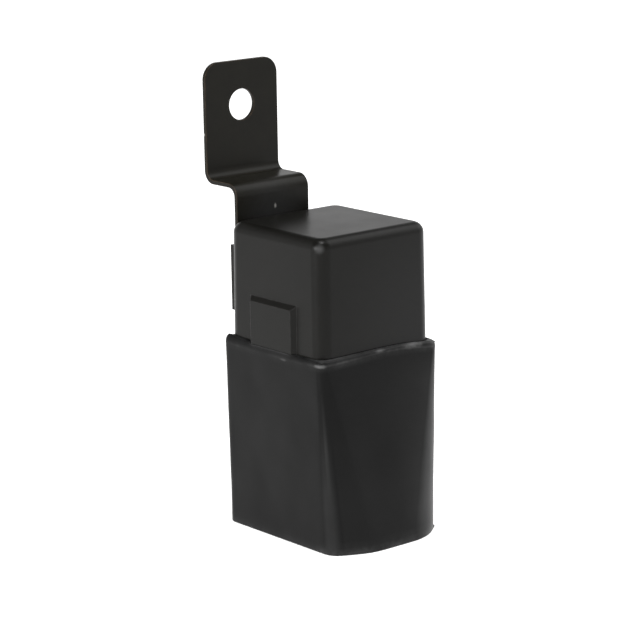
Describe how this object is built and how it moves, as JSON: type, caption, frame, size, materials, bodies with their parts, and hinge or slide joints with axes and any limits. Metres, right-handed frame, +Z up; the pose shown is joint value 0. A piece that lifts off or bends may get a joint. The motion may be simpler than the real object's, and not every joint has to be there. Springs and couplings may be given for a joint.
{
  "type": "automotive relay",
  "caption": "Automotive relay with a square moulded cover, a rubber skirt round its plug blades and a folded bracket strip with a fixing hole.",
  "frame": {"origin": "middle of the skirt's lower rim, between its flat sides, in the plane of that rim", "axes": "+Z up from the skirt's lower rim to the bracket's tab, +Y toward the back where the bracket stands, +X to the right seen from the bowed front"},
  "size_m": [0.03, 0.0451, 0.0899],
  "materials": {
    "boot": "satin moulded rubber",
    "cover": "satin moulded nylon",
    "bracket": "satin black coated steel",
    "base": "matte moulded plastic",
    "resin": "poured potting resin",
    "blade_metal": "bright stamped brass",
    "iron": "zinc plated soft iron",
    "bobbin": "matte natural nylon",
    "copper": "enamelled copper wire",
    "leaf_metal": "satin phosphor bronze",
    "silver": "satin silver alloy",
    "spring_wire": "bright spring wire",
    "resistor_body": "lacquered ceramic"
  },
  "bodies": {
    "case": {"boot": "boot", "cover": "cover", "bracket": "bracket", "base": "base", "base_seal": "resin", "blade_30": "blade_metal", "blade_85": "blade_metal", "blade_86": "blade_metal", "blade_87": "blade_metal", "blade_87a": "blade_metal", "yoke": "iron", "core": "iron", "bobbin": "bobbin", "coil_winding": "copper", "coil_leads": "copper", "lower_contact": "silver", "upper_contact": "silver", "return_spring": "spring_wire", "braid": "copper", "resistor": "resistor_body", "resistor_leads": "spring_wire"},
    "armature": {"armature": "iron", "contact_leaf": "leaf_metal", "leaf_rivets": "blade_metal", "moving_contact": "silver"}
  },
  "joints": [
    {"name": "armature_hinge", "type": "hinge", "parent": "case", "child": "armature", "pos_m": [0, 0.00951, 0.05267], "axis": [1, 0, 0], "range_deg": [0, 3.5], "stiffness_Nm_per_rad": 0.02, "springref_deg": -3.44, "deforming": ["return_spring", "braid"]}
  ]
}
